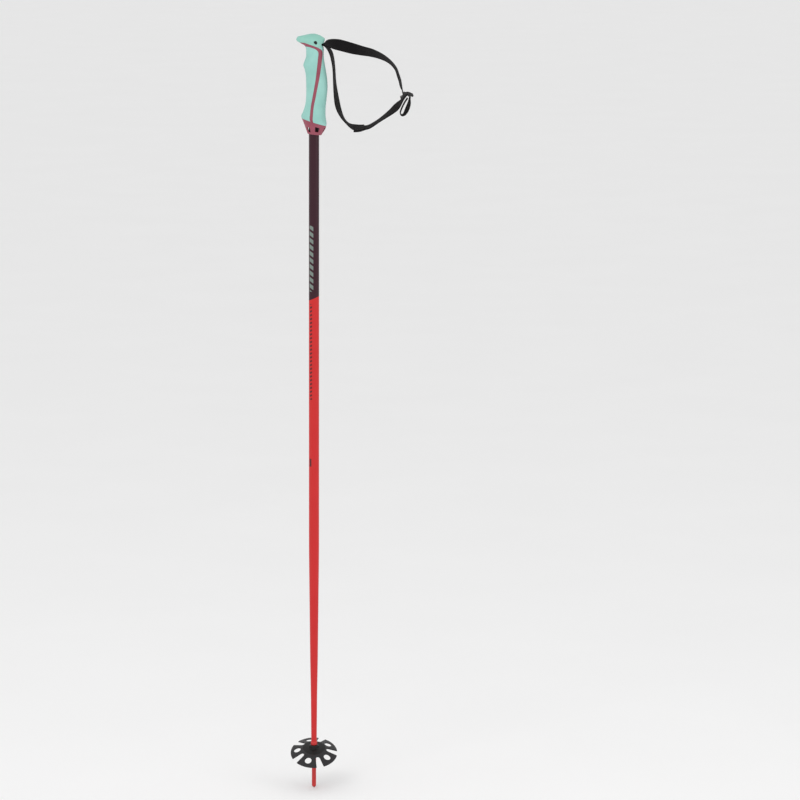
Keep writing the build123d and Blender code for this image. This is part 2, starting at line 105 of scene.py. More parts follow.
class Surface:
    """A node material with short calls for the nodes it uses."""

    def __init__(self, name):
        self.material = bpy.data.materials.new(name)
        self.material.use_nodes = True
        self.tree = self.material.node_tree
        self.shader = self.tree.nodes["Principled BSDF"]
        place = self.tree.nodes.new("ShaderNodeTexCoord")
        self.place = place.outputs["Object"]

    def put(self, target, value):
        """Link an output, or set a constant, on an input socket."""
        if isinstance(value, bpy.types.NodeSocket):
            self.tree.links.new(value, target)
        else:
            target.default_value = value

    def set(self, **values):
        """Constants set directly on the shader."""
        for key, value in values.items():
            self.shader.inputs[key.replace("_", " ")].default_value = value

    def math(self, operation, a, b=0.0, c=0.0):
        node = self.tree.nodes.new("ShaderNodeMath")
        node.operation = operation
        for socket, value in zip(node.inputs, (a, b, c)):
            self.put(socket, value)
        return node.outputs[0]

    def split(self, vector):
        node = self.tree.nodes.new("ShaderNodeSeparateXYZ")
        self.put(node.inputs[0], vector)
        return node.outputs

    def join(self, x, y, z):
        node = self.tree.nodes.new("ShaderNodeCombineXYZ")
        for socket, value in zip(node.inputs, (x, y, z)):
            self.put(socket, value)
        return node.outputs[0]

    def noise(self, scale, detail=3.0, vector=None):
        node = self.tree.nodes.new("ShaderNodeTexNoise")
        self.put(node.inputs["Vector"], self.place if vector is None else vector)
        node.inputs["Scale"].default_value = scale
        node.inputs["Detail"].default_value = detail
        return node.outputs[0]

    def cells(self, scale):
        node = self.tree.nodes.new("ShaderNodeTexVoronoi")
        self.put(node.inputs["Vector"], self.place)
        node.inputs["Scale"].default_value = scale
        return node.outputs[0]

    def span(self, value, low, high, to_low, to_high):
        node = self.tree.nodes.new("ShaderNodeMapRange")
        for socket, part in zip(node.inputs, (value, low, high, to_low, to_high)):
            self.put(socket, part)
        return node.outputs[0]

    def mix(self, share, first, second):
        node = self.tree.nodes.new("ShaderNodeMix")
        node.data_type = "RGBA"
        self.put(node.inputs[0], share)
        self.put(node.inputs[6], first)
        self.put(node.inputs[7], second)
        return node.outputs[2]

    def colour(self, value):
        self.put(self.shader.inputs["Base Color"], value)

    def rough(self, value):
        self.put(self.shader.inputs["Roughness"], value)

    def bump(self, height, distance, strength=1.0):
        node = self.tree.nodes.new("ShaderNodeBump")
        node.inputs["Strength"].default_value = strength
        node.inputs["Distance"].default_value = distance
        self.put(node.inputs["Height"], height)
        self.tree.links.new(node.outputs[0], self.shader.inputs["Normal"])


def srgb(red, green, blue):
    """Linear colour from the 0 to 255 values of a screen."""
    parts = [c / 255 for c in (red, green, blue)]
    linear = [c / 12.92 if c <= 0.04045 else ((c + 0.055) / 1.055) ** 2.4 for c in parts]
    return (*linear, 1.0)


def moulded(name, light, dark, low_rough, high_rough, grain, depth, **fixed):
    """Moulded plastic or rubber: soft cloudy colour, fine spark-eroded grain, uneven gloss."""
    made = Surface(name)
    cloud = made.noise(38.0, 4.0)
    fine = made.noise(grain, 2.0)
    pits = made.cells(grain * 0.8)
    made.colour(made.mix(made.span(cloud, 0.3, 0.7, 0.0, 1.0), dark, light))
    made.rough(made.span(made.noise(160.0, 5.0), 0.3, 0.7, low_rough, high_rough))
    made.bump(made.math("ADD", fine, made.math("MULTIPLY", pits, 0.6)), depth)
    made.set(**fixed)
    return made.material


disc_edge = 0.02  # radius where the basket's disc gives way to its petals


def petal_plastic(name):
    """Black moulded plastic: matt near-black disc, greyer glossier petals round it; their grey is a
    painted sheen.
    """
    made = Surface(name)
    x, y, z = made.split(made.place)
    square = made.math("ADD", made.math("MULTIPLY", x, x), made.math("MULTIPLY", y, y))
    petal_sheen = made.span(made.math("SQRT", square), disc_edge, disc_edge + 0.0003, 0.0, 1.0)
    cloud = made.noise(60.0, 4.0)
    disc = made.mix(cloud, srgb(8, 8, 8), srgb(16, 15, 15))
    # Painted sheen: the petals get a lighter grey than the disc, standing in for light glancing off them.
    rim = made.mix(cloud, srgb(28, 28, 29), srgb(44, 43, 45))
    made.colour(made.mix(petal_sheen, disc, rim))
    made.rough(made.span(made.noise(300.0, 5.0), 0.3, 0.7, 0.3, 0.5))
    made.bump(made.math("ADD", made.noise(1500.0, 2.0), made.cells(1200.0)), 0.00006)
    made.set(Specular_IOR_Level=0.32)
    return made.material


def steel(name):
    made = Surface(name)
    x, y, z = made.split(made.place)
    lathe_marks = made.noise(1.0, 2.0, made.join(0.0, 0.0, made.math("MULTIPLY", z, 9000.0)))
    made.colour(made.mix(lathe_marks, srgb(120, 122, 124), srgb(176, 178, 178)))
    made.rough(made.span(made.noise(700.0), 0.3, 0.7, 0.28, 0.5))
    made.bump(lathe_marks, 0.00003)
    made.set(Metallic=1.0)
    return made.material


def between(made, value, low, high, soft):
    """1 where value is between low and high, with soft edges."""
    rise = made.span(value, low - soft, low + soft, 0.0, 1.0)
    fall = made.span(value, high - soft, high + soft, 1.0, 0.0)
    return made.math("MULTIPLY", rise, fall)


def dashes(made, x, z, foot, top, left, right, pitch, slant, share):
    """A column of slanted bars between two heights on the side of the tube that faces -Y."""
    run = made.math("ADD", z, made.math("MULTIPLY", x, slant))
    phase = made.math("FRACT", made.math("DIVIDE", made.math("SUBTRACT", run, foot), pitch))
    bars = between(made, phase, 0.5 - share / 2, 0.5 + share / 2, 0.03)
    column = between(made, x, left, right, 0.0002)
    reach = between(made, z, foot, top, 0.0003)
    return made.math("MULTIPLY", made.math("MULTIPLY", bars, column), reach)


split_height = 0.888
split_slant = 0.44  # rise per metre towards +X
pale_bars = dict(foot=0.9, top=1.016, left=-0.0078, right=-0.0012, pitch=0.0115, slant=0.7, share=0.62)
dark_bars = dict(foot=0.708, top=0.878, left=-0.0072, right=-0.0034, pitch=0.0068, slant=-0.5, share=0.5)
small_block_heights = (0.588, 0.602)
small_block_sides = (-0.0078, -0.0046)


def lacquer(name):
    """Two lacquers on the tube, plum over red, with plain slanted bars printed on the front."""
    made = Surface(name)
    x, y, z = made.split(made.place)
    cloud = made.noise(22.0, 4.0)
    plum = made.mix(cloud, srgb(50, 20, 31), srgb(60, 27, 38))
    red = made.mix(cloud, srgb(196, 36, 38), srgb(208, 46, 46))
    level = made.math("SUBTRACT", z, made.math("MULTIPLY", x, split_slant))
    above = made.span(level, split_height - 0.0001, split_height + 0.0001, 0.0, 1.0)
    base = made.mix(above, red, plum)
    front = made.span(y, -0.0004, 0.0, 1.0, 0.0)
    pale = dashes(made, x, z, **pale_bars)
    dark = dashes(made, x, z, **dark_bars)
    small = between(made, z, *small_block_heights, 0.0003)
    small = made.math("MULTIPLY", small, between(made, x, *small_block_sides, 0.0002))
    dark = made.math("MAXIMUM", dark, small)
    base = made.mix(made.math("MULTIPLY", pale, front), base, srgb(122, 134, 128))
    base = made.mix(made.math("MULTIPLY", dark, front), base, srgb(92, 30, 36))
    scuff = made.span(made.noise(1400.0, 6.0), 0.66, 0.72, 0.0, 0.25)
    made.colour(made.mix(scuff, base, srgb(176, 120, 120)))
    made.rough(made.span(made.noise(260.0, 5.0), 0.3, 0.7, 0.30, 0.46))
    made.bump(made.noise(900.0, 2.0), 0.00002)
    made.set(Coat_Weight=0.12, Coat_Roughness=0.12, Specular_IOR_Level=0.2)
    return made.material


twill_pitch = 0.0013
warp_pitch = 0.0008


def woven(name):
    """Twill webbing: ribs along and across from the ribbon's own coordinates, woven selvedges."""
    made = Surface(name)
    weave = made.tree.nodes.new("ShaderNodeAttribute")
    weave.attribute_name = "weave"
    along, across, face = made.split(weave.outputs["Vector"])
    zigzag = made.math("PINGPONG", across, 0.0025)
    slanted = made.math("ADD", along, zigzag)
    twill = made.math("SINE", made.math("MULTIPLY", slanted, 2 * math.pi / twill_pitch))
    warp = made.math("SINE", made.math("MULTIPLY", across, 2 * math.pi / warp_pitch))
    middle = made.span(made.math("ABSOLUTE", across), 0.0086, 0.0088, 1.0, 0.25)
    thread = made.math("MULTIPLY", made.math("MULTIPLY", twill, warp), middle)
    fuzz = made.noise(2600.0, 3.0)
    height = made.math("ADD", thread, made.math("MULTIPLY", fuzz, 0.5))
    # Painted shade and highlight: the low parts of the weave are painted darker and the raised threads
    # lighter.
    share = made.span(height, -0.8, 1.2, 0.0, 1.0)
    cloud = made.noise(60.0, 3.0)
    deep = made.mix(cloud, srgb(4, 3, 4), srgb(9, 8, 9))
    lit = made.mix(cloud, srgb(22, 20, 21), srgb(34, 32, 33))
    made.colour(made.mix(share, deep, lit))
    made.rough(made.span(fuzz, 0.3, 0.7, 0.72, 0.92))
    made.bump(height, 0.00018, 0.8)
    made.set(Sheen_Weight=0.04, Sheen_Roughness=0.5, Specular_IOR_Level=0.12)
    return made.material


def twisted_thread(name):
    made = Surface(name)
    x, y, z = made.split(made.place)
    run = made.math("ADD", made.math("ADD", x, y), z)
    ply = made.math("SINE", made.math("MULTIPLY", run, 2 * math.pi / 0.0005))
    made.colour(made.mix(made.span(ply, -1.0, 1.0, 0.0, 1.0), srgb(14, 13, 14), srgb(46, 44, 46)))
    made.rough(made.span(ply, -1.0, 1.0, 0.7, 0.5))
    made.bump(ply, 0.00005)
    made.set(Sheen_Weight=0.2)
    return made.material


pad_mint = moulded(
    "pad_mint", srgb(156, 208, 199), srgb(140, 195, 185), 0.5, 0.66, 2600.0, 0.00006, Sheen_Weight=0.03
)
cap_mint = moulded("cap_mint", srgb(150, 205, 192), srgb(134, 192, 177), 0.42, 0.56, 2400.0, 0.00004)
frame_rose = moulded(
    "frame_rose",
    srgb(156, 78, 94),
    srgb(142, 66, 82),
    0.38,
    0.52,
    2400.0,
    0.00004,
    Specular_IOR_Level=0.35,
)
basket_black = petal_plastic("basket_black")
ferrule_red = moulded("ferrule_red", srgb(206, 46, 44), srgb(190, 36, 36), 0.34, 0.48, 2000.0, 0.00003)
small_black = moulded("small_black", srgb(26, 25, 26), srgb(14, 14, 15), 0.3, 0.46, 3000.0, 0.00003)
plain_black = moulded("plain_black", srgb(30, 30, 31), srgb(18, 18, 19), 0.45, 0.6, 2400.0, 0.00004)
tip_steel = steel("tip_steel")
shaft_lacquer = lacquer("shaft_lacquer")
webbing_black = woven("webbing_black")
thread_black = twisted_thread("thread_black")


# ---- Mesh helpers -------------------------------------------------------------------------------


class Shell:
    """Collects vertices and faces of one piece, in metres."""

    def __init__(self):
        self.points = []
        self.faces = []
        self.weave = []

    def add(self, points):
        start = len(self.points)
        self.points.extend(tuple(p) for p in points)
        return start

    def object(self, name, material, sharp=40.0):
        mesh = bpy.data.meshes.new(name)
        mesh.from_pydata(self.points, [], self.faces)
        if self.weave:
            layer = mesh.attributes.new("weave", "FLOAT_VECTOR", "POINT")
            layer.data.foreach_set("vector", np.array(self.weave, np.float32).ravel())
        return finish_mesh(name, mesh, material, sharp)


def finish_mesh(name, mesh, material, sharp):
    """Link a mesh as an object with outward normals, one material and smooth shading."""
    shape = bmesh.new()
    shape.from_mesh(mesh)
    bmesh.ops.recalc_face_normals(shape, faces=shape.faces)
    shape.to_mesh(mesh)
    shape.free()
    mesh.materials.clear()
    mesh.materials.append(material)
    mesh.shade_smooth()
    mesh.set_sharp_from_angle(angle=math.radians(sharp))
    made = bpy.data.objects.new(name, mesh)
    bpy.context.scene.collection.objects.link(made)
    return made


def apply_modifiers(obj):
    """Replace the object's mesh by its evaluated mesh."""
    graph = bpy.context.evaluated_depsgraph_get()
    mesh = bpy.data.meshes.new_from_object(obj.evaluated_get(graph))
    obj.modifiers.clear()
    obj.data = mesh
    return obj


def round_edges(obj, width, segments=3, angle=40.0):
    """Rounded edges of the given width where faces meet at more than angle."""
    bevel = obj.modifiers.new("round", "BEVEL")
    bevel.width = width
    bevel.segments = segments
    bevel.limit_method = "ANGLE"
    bevel.angle_limit = math.radians(angle)
    apply_modifiers(obj)
    obj.data.shade_smooth()
    obj.data.set_sharp_from_angle(angle=math.radians(60.0))
    return obj


def softened(name, node, material, voxel, passes):
    """A moulded copy of a CAD node: fine even mesh with its edges rounded over."""
    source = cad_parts[node]
    made = bpy.data.objects.new(name, source.data.copy())
    bpy.context.scene.collection.objects.link(made)
    remesh = made.modifiers.new("even", "REMESH")
    remesh.mode = "VOXEL"
    remesh.voxel_size = voxel
    smooth = made.modifiers.new("smooth", "SMOOTH")
    smooth.factor = 0.5
    smooth.iterations = passes
    apply_modifiers(made)
    made.data.materials.clear()
    made.data.materials.append(material)
    made.data.shade_smooth()
    return made


def lathe(name, profile_mm, material, turns=96, sharp=35.0):
    """Closed solid of revolution about the Z axis; profile in radius and height."""
    shell = Shell()
    rings = []
    for radius, height in profile_mm:
        if radius == 0:
            rings.append([shell.add([(0, 0, height * MM)])] * turns)
            continue
        angles = [2 * math.pi * k / turns for k in range(turns)]
        ring = [(radius * MM * math.cos(a), radius * MM * math.sin(a), height * MM) for a in angles]
        start = shell.add(ring)
        rings.append([start + k for k in range(turns)])
    closed = profile_mm[0][0] != 0
    pairs = list(zip(rings, rings[1:])) + ([(rings[-1], rings[0])] if closed else [])
    for low, high in pairs:
        for k in range(turns):
            face = []
            for corner in (low[k], low[(k + 1) % turns], high[(k + 1) % turns], high[k]):
                if corner not in face:
                    face.append(corner)
            if len(face) > 2:
                shell.faces.append(face)
    return shell.object(name, material, sharp)


curve_steps = 24  # samples between two points of a curve


def smooth_path(points, step):
    """Catmull-Rom curve through rows of numbers, evenly sampled by the first three columns."""
    rows = np.array(points, float)
    rows = np.vstack([2 * rows[0] - rows[1], rows, 2 * rows[-1] - rows[-2]])
    fine = []
    for a, b, c, d in zip(rows, rows[1:], rows[2:], rows[3:]):
        for t in np.linspace(0, 1, curve_steps, endpoint=False):
            t2, t3 = t * t, t * t * t
            square, cube = 2 * a - 5 * b + 4 * c - d, 3 * b - a - 3 * c + d
            fine.append(0.5 * (2 * b + (c - a) * t + square * t2 + cube * t3))
    fine.append(rows[-2])
    fine = np.array(fine)
    run = np.concatenate([[0], np.cumsum(np.linalg.norm(np.diff(fine[:, :3], axis=0), axis=1))])
    count = max(2, round(run[-1] / step) + 1)
    at = np.linspace(0, run[-1], count)
    return np.column_stack([np.interp(at, run, fine[:, k]) for k in range(fine.shape[1])])


# ---- Shaft, ferrule, tip ------------------------------------------------------------------------

tube_top = 1312.0
shaft_mm = [
    (4.9, 86.0),
    (5.65, 169.0),
    (6.85, 236.0),
    (7.9, 332.0),
    (8.65, 402.0),
    (8.94, 432.0),
    (9.0, 446.0),
    (9.0, tube_top),
    (7.8, tube_top),
    (7.8, 440.0),
    (3.7, 86.0),
]
ferrule_mm = [
    (0, 1.6),
    (1.5, 1.6),
    (2.4, 1.75),
    (3.1, 2.3),
    (3.6, 3.3),
    (3.85, 4.7),
    (3.85, 60.0),
    (4.2, 61.0),
    (5.1, 79.0),
    (5.6, 79.3),
    (5.8, 79.7),
    (5.8, 84.2),
    (5.6, 85.1),
    (5.1, 85.8),
    (4.6, 86.0),
    (3.65, 86.0),
    (3.65, 111.0),
    (0, 111.0),
]
tip_mm = [(0, 0), (0.8, 0), (1.2, 0.15), (1.45, 0.55), (1.48, 1.7), (0, 1.7)]

shaft = lathe("shaft_tube", shaft_mm, shaft_lacquer, 128)
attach(shaft, "pole")
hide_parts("shaft")
ferrule = lathe("tip_ferrule", ferrule_mm, ferrule_red)
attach(ferrule, "pole")
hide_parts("ferrule")
tip = lathe("tip_point", tip_mm, tip_steel, 64)
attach(tip, "pole")
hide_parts("tip_insert")

basket = softened("basket_petals", "basket", basket_black, 0.00042, 5)
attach(basket, "basket_disc")
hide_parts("basket")


# ---- Grip surface -------------------------------------------------------------------------------

# Front x, front height, rear x, rear height, half-width, and how much the section narrows forwards.
grip_rows_mm = [
    (-11.0, -173.5, 12.8, -176.0, 12.2, 0.0),
    (-18.8, -152.0, 20.9, -161.3, 19.5, 0.0),
    (-22.0, -143.7, 21.7, -155.1, 20.8, 0.0),
    (-18.8, -135.1, 20.2, -146.0, 18.0, 0.0),
    (-14.7, -121.3, 19.9, -130.0, 15.8, 0.0),
    (-13.4, -105.8, 21.5, -114.0, 15.2, 0.0),
    (-13.4, -87.3, 23.3, -90.5, 15.6, 0.0),
    (-14.1, -72.0, 22.1, -75.1, 15.4, 0.0),
    (-16.2, -61.3, 19.8, -60.5, 14.8, 0.0),
    (-18.3, -54.2, 18.5, -53.0, 14.5, 0.0),
    (-16.2, -47.3, 17.4, -45.5, 14.2, 0.0),
    (-13.6, -39.7, 16.7, -38.0, 14.0, 0.0),
    (-13.4, -32.0, 16.6, -32.0, 13.9, 0.0),
    (-13.9, -25.5, 16.7, -26.0, 13.9, 0.02),
    (-14.9, -22.6, 16.0, -22.6, 14.0, 0.05),
    (-17.0, -20.2, 15.9, -20.2, 14.1, 0.1),
    (-21.0, -18.0, 15.8, -18.0, 14.1, 0.16),
    (-25.7, -15.1, 16.8, -15.1, 14.0, 0.22),
    (-29.0, -12.8, 17.9, -12.8, 13.8, 0.26),
    (-30.4, -10.8, 18.6, -10.8, 13.4, 0.28),
    (-30.0, -8.6, 18.4, -8.8, 12.6, 0.28),
    (-28.1, -5.5, 18.1, -8.1, 11.2, 0.26),
    (-22.5, -3.9, 14.2, -5.4, 9.0, 0.2),
    (-16.6, -2.7, 10.6, -3.3, 6.8, 0.12),
    (-11.0, -1.5, 6.0, -1.6, 4.4, 0.06),
    (-6.5, -0.5, 1.5, -0.4, 2.2, 0.0),
]
rows_at = np.array(grip_rows_mm, float)
row_middles = np.column_stack([rows_at[:, [0, 2]].mean(1), rows_at[:, [1, 3]].mean(1), rows_at[:, 4]])
row_knots = np.concatenate([[0], np.cumsum(np.linalg.norm(np.diff(row_middles, axis=0), axis=1))])
last_knot = row_knots[-1]


def row_slopes(values, knots):
    """Slope of every column at every knot, weighted by the nearer neighbour."""
    gaps = np.diff(knots)[:, None]
    rates = np.diff(values, axis=0) / gaps
    inner = (rates[:-1] * gaps[1:] + rates[1:] * gaps[:-1]) / (gaps[1:] + gaps[:-1])
    return np.vstack([rates[:1], inner, rates[-1:]])


grip_slopes = row_slopes(rows_at, row_knots)


def grip_row(s):
    """Cubic interpolation of the rows at distance s along the grip."""
    s = np.clip(s, 0, last_knot)
    k = np.clip(np.searchsorted(row_knots, s, side="right") - 1, 0, len(row_knots) - 2)
    gap = row_knots[k + 1] - row_knots[k]
    t = ((s - row_knots[k]) / gap)[..., None]
    gap = gap[..., None]
    a, b = rows_at[k], rows_at[k + 1]
    ma, mb = grip_slopes[k] * gap, grip_slopes[k + 1] * gap
    t2, t3 = t * t, t * t * t
    return (2 * t3 - 3 * t2 + 1) * a + (t3 - 2 * t2 + t) * ma + (3 * t2 - 2 * t3) * b + (t3 - t2) * mb


def grip_point(s, turn):
    """Point of the grip's skin in millimetres; turn 0 is the rear and pi the beak's side."""
    row = grip_row(s)
    front_x, front_h, rear_x, rear_h, half, taper = np.moveaxis(row, -1, 0)
    c = np.cos(turn)
    x = (front_x + rear_x) / 2 + (rear_x - front_x) / 2 * c
    h = (front_h + rear_h) / 2 + (rear_h - front_h) / 2 * c
    y = half * np.sin(turn) * (1 + taper * c)
    return np.stack([x, y, h], axis=-1)


def grip_normal(s, turn):
    """Outward unit normal of the skin."""
    along = grip_point(s + 0.05, turn) - grip_point(s - 0.05, turn)
    round_ = grip_point(s, turn + 0.002) - grip_point(s, turn - 0.002)
    normal = np.cross(round_, along)
    return normal / np.maximum(np.linalg.norm(normal, axis=-1, keepdims=True), 1e-9)


def grip_place(x, h):
    """Distance along the grip and turn of points given in side view."""
    x, h = np.asarray(x, float), np.asarray(h, float)
    low, high = np.zeros_like(x), np.full_like(x, last_knot)
    for _ in range(48):
        s = (low + high) / 2
        row = grip_row(s)
        front_x, front_h, rear_x, rear_h = (row[..., k] for k in range(4))
        side = (rear_x - front_x) * (h - front_h) - (rear_h - front_h) * (x - front_x)
        low, high = np.where(side > 0, s, low), np.where(side > 0, high, s)
    share = (x - front_x) / (rear_x - front_x)
    return s, np.arccos(np.clip(2 * share - 1, -1, 1))


flange_height = -153.0  # rim of the pads on the shaft's axis
flange_slope = math.tan(math.radians(18.0))


def flange_line(turn):
    """Distance along the grip of the flange at each turn."""
    turn = np.asarray(turn, float)
    low, high = np.zeros_like(turn), np.full_like(turn, 60.0)
    for _ in range(40):
        s = (low + high) / 2
        p = grip_point(s, turn)
        above = p[..., 2] > flange_height - flange_slope * p[..., 0]
        low, high = np.where(above, low, s), np.where(above, s, high)
    return s


def to_world(points_mm):
    return points_mm * MM + np.array([0, 0, grip_top])


def thick_grid(shell, s, turn, proud, deep, openings=(), ring=False, crown=False):
    """Closed slab over a grid on the grip's skin, with walls round its border and its openings."""
    rows, columns = s.shape
    normal = grip_normal(s, turn)
    skin = grip_point(s, turn)
    outer = to_world(skin + normal * proud)
    inner = to_world(skin - normal * deep)
    start = shell.add(outer.reshape(-1, 3))
    back = shell.add(inner.reshape(-1, 3))
    last = columns if ring else columns - 1
    open_cells = set()
    for j0, j1, i0, i1 in openings:
        open_cells.update((i, j) for i in range(i0, i1) for j in range(j0, j1))

    def at(i, j):
        return i * columns + j % columns

    edges = {}
    for i in range(rows - 1):
        for j in range(last):
            if (i, j) in open_cells:
                continue
            corners = [at(i, j), at(i, j + 1), at(i + 1, j + 1), at(i + 1, j)]
            shell.faces.append([start + c for c in corners])
            shell.faces.append([back + c for c in reversed(corners)])
            for a, b in zip(corners, corners[1:] + corners[:1]):
                edges[(a, b)] = True
    if crown:
        peak = shell.add([outer[-1].mean(0), inner[-1].mean(0)])
        for j in range(columns):
            a, b = at(rows - 1, j), at(rows - 1, j + 1)
            shell.faces.append([start + a, start + b, peak])
            shell.faces.append([back + b, back + a, peak + 1])
            edges[(b, a)] = edges[(a, b)] = True
    for a, b in list(edges):
        if (b, a) not in edges:
            shell.faces.append([start + b, start + a, back + a, back + b])
    used = {v for face in shell.faces for v in face}
    keep = {v: k for k, v in enumerate(sorted(used))}
    shell.points = [shell.points[v] for v in sorted(used)]
    shell.faces = [[keep[v] for v in face] for face in shell.faces]


def shape_opening(u, v, centre, half, corner):
    """Bend grid lines round an opening with rounded corners; returns its block of cells."""
    cu, cv = centre
    hu, hv = half
    du, dv = u[0, 1] - u[0, 0], v[1, 0] - v[0, 0]
    j0, j1 = round((cu - hu - u[0, 0]) / du), round((cu + hu - u[0, 0]) / du)
    i0, i1 = round((cv - hv) / dv), round((cv + hv) / dv)
    jm, im = (j0 + j1) / 2, (i0 + i1) / 2
    reach = 1.9
    for i in range(max(0, i0 - 6), min(u.shape[0], i1 + 7)):
        for j in range(max(0, j0 - 8), min(u.shape[1], j1 + 9)):
            a, b = (j - jm) / ((j1 - j0) / 2), (i - im) / ((i1 - i0) / 2)
            size = max(abs(a), abs(b))
            if size < 0.999 or size > reach or i == 0:
                continue
            ea, eb = a / size, b / size
            ra, rb = ea, eb
            inset = 1 - corner
            if abs(ea) > inset and abs(eb) > inset:
                ca, cb = abs(ea) - inset, abs(eb) - inset
                length = math.hypot(ca, cb)
                ra = math.copysign(inset + corner * ca / length, ea)
                rb = math.copysign(inset + corner * cb / length, eb)
            fade = 1 - (size - 1) / (reach - 1)
            goal_u = cu + hu * ra
            goal_v = cv + hv * rb
            here_u = u[0, 0] + du * (jm + (j1 - j0) / 2 * ea)
            here_v = dv * (im + (i1 - i0) / 2 * eb)
            u[i, j] += (goal_u - here_u) * fade
            v[i, j] += (goal_v - here_v) * fade
    return j0, j1, i0, i1


# Borders of the hard band in side view, from the flange up and forwards under the beak.
band_upper_mm = [
    (-0.9, -158.0),
    (-0.9, -140.0),
    (-0.3, -124.4),
    (2.1, -113.5),
    (5.3, -96.6),
    (9.0, -78.2),
    (12.1, -59.7),
    (14.0, -44.2),
    (15.0, -34.6),
    (14.6, -31.0),
    (12.8, -27.7),
    (8.1, -24.3),
    (4.6, -22.8),
    (0.5, -21.0),
    (-8.8, -17.9),
    (-17.2, -15.4),
    (-26.0, -14.9),
]
band_lower_mm = [
    (-5.7, -158.0),
    (-5.7, -139.7),
    (-5.3, -124.4),
    (-3.4, -113.5),
    (-0.3, -96.6),
    (2.8, -78.2),
    (5.0, -59.7),
    (6.6, -44.2),
    (7.5, -36.4),
    (7.5, -33.2),
    (7.0, -30.8),
    (5.4, -28.6),
    (3.4, -26.9),
    (-0.4, -25.0),
    (-7.4, -22.9),
    (-12.6, -22.1),
    (-15.2, -21.9),
]
cap_corner = 12  # row of band_upper_mm where cap, band and rear pad meet
cap_rear_height = -22.7
border_step = 1.1

upper_border = smooth_path([(x, h, 0, k) for k, (x, h) in enumerate(band_upper_mm)], 0.5)
lower_border = smooth_path([(x, h, 0, k) for k, (x, h) in enumerate(band_lower_mm)], 0.5)


def border_at(border, knots):
    """Distance along the grip and turn of a border at fractional rows of its table."""
    x = np.interp(knots, border[:, 3], border[:, 0])
    h = np.interp(knots, border[:, 3], border[:, 1])
    return grip_place(x, h)


def border_knots(border, first, last):
    """Evenly spaced rows of the table between two knots."""
    part = border[(border[:, 3] >= first) & (border[:, 3] <= last)]
    run = np.concatenate([[0], np.cumsum(np.hypot(*np.diff(part[:, :2], axis=0).T))])
    count = round(run[-1] / border_step)
    return np.interp(np.linspace(0, run[-1], count), run, part[:, 3])


def trim_to_flange(s, turn, reach=26.0):
    """Move a grid's first row onto the flange and ease the rows above it."""
    start = flange_line(turn[0])
    shift = start - s[0]
    ease = np.clip(1 - (s[:, :1] - s[:1, :1].mean()) / reach, 0, 1) ** 2
    return s + ease * shift


pad_proud = 0.22
pad_deep = 2.4
pad_edge = 0.5
pad_columns = 26


def pad(name, border, knots, middle_turn, columns):
    """Soft pad from one side border, round through middle_turn, to the mirrored border."""
    s_edge, turn_edge = border_at(border, knots)
    share = np.linspace(0, 1, columns)[None, :]
    turn = turn_edge[:, None] * (1 - share) + middle_turn * share
    half_s = np.repeat(s_edge[:, None], columns, axis=1)
    mirrored = 2 * middle_turn - turn[:, -2::-1]
    turn = np.hstack([turn, mirrored])
    s = np.hstack([half_s, half_s[:, -2::-1]])
    s = trim_to_flange(s, turn)
    shell = Shell()
    thick_grid(shell, s, turn, pad_proud, pad_deep)
    made = shell.object(name, pad_mint)
    return round_edges(made, pad_edge * MM)


front_knots = border_knots(lower_border, 1.0, 15.0)
front_pad = pad("front_pad_rubber", lower_border, front_knots, math.pi, pad_columns)
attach(front_pad, "pole")
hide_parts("front_pad")
rear_knots = border_knots(upper_border, 1.0, float(cap_corner))
rear_pad = pad("rear_pad_rubber", upper_border, rear_knots, 0.0, pad_columns)
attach(rear_pad, "pole")
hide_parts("rear_pad")


# ---- Hard frame of the grip: band and bell ------------------------------------------------------


band_columns = 13
band_deep = 2.6


def add_band(shell):
    """Strip up one side, across under the beak and down the other side."""
    knots = border_knots(upper_border, 1.0, len(band_upper_mm) - 1.0)
    s_a, turn_a = border_at(upper_border, knots)
    s_b, turn_b = border_at(lower_border, knots)
    share = np.linspace(0, 1, band_columns)[None, :]
    s = s_a[:, None] * (1 - share) + s_b[:, None] * share
    turn = turn_a[:, None] * (1 - share) + turn_b[:, None] * share
    turn[-1] = math.pi
    s = trim_to_flange(s, turn)
    s = np.vstack([s, s[-2::-1]])
    turn = np.vstack([turn, 2 * math.pi - turn[-2::-1]])
    thick_grid(shell, s, turn, 0.0, band_deep)


bell_columns = 168
bell_rows = 36
bell_wall = 2.0
bell_half_width = 17.0
bell_half_length = 17.5
bell_radius = 17.3
bell_ceiling = 2.5
window_headings = (-135, -75, -15, 15, 75, 135)  # degrees about +Z from +X
window_half_width = 4.0
window_corner = 0.35  # rounded share of each half side
window_heights = (-170.2, -161.6)
shaft_hole = 9.05


def add_bell(shell):
    """Hollow skirt under the flange, with its windows."""
    turn_line = math.pi + 2 * math.pi * np.arange(bell_columns) / bell_columns
    u, v = np.meshgrid(turn_line, np.linspace(0, 1, bell_rows))
    blocks = []
    for heading in window_headings:
        x, y = math.cos(math.radians(heading)), math.sin(math.radians(heading))
        centre = math.atan2(y / bell_half_width, x / bell_half_length) % (2 * math.pi)
        centre += 2 * math.pi if centre < math.pi else 0
        probe = np.linspace(0, 1, 400)
        turn = np.full(400, centre)
        heights = grip_point(probe * flange_line(turn), turn)[:, 2]
        low, high = np.interp(window_heights, heights, probe)
        half = (window_half_width / bell_radius, (high - low) / 2)
        blocks.append(shape_opening(u, v, (centre, (low + high) / 2), half, window_corner))
    s = v * flange_line(u)
    thick_grid(shell, s, u, 0.1, bell_wall, blocks, ring=True)


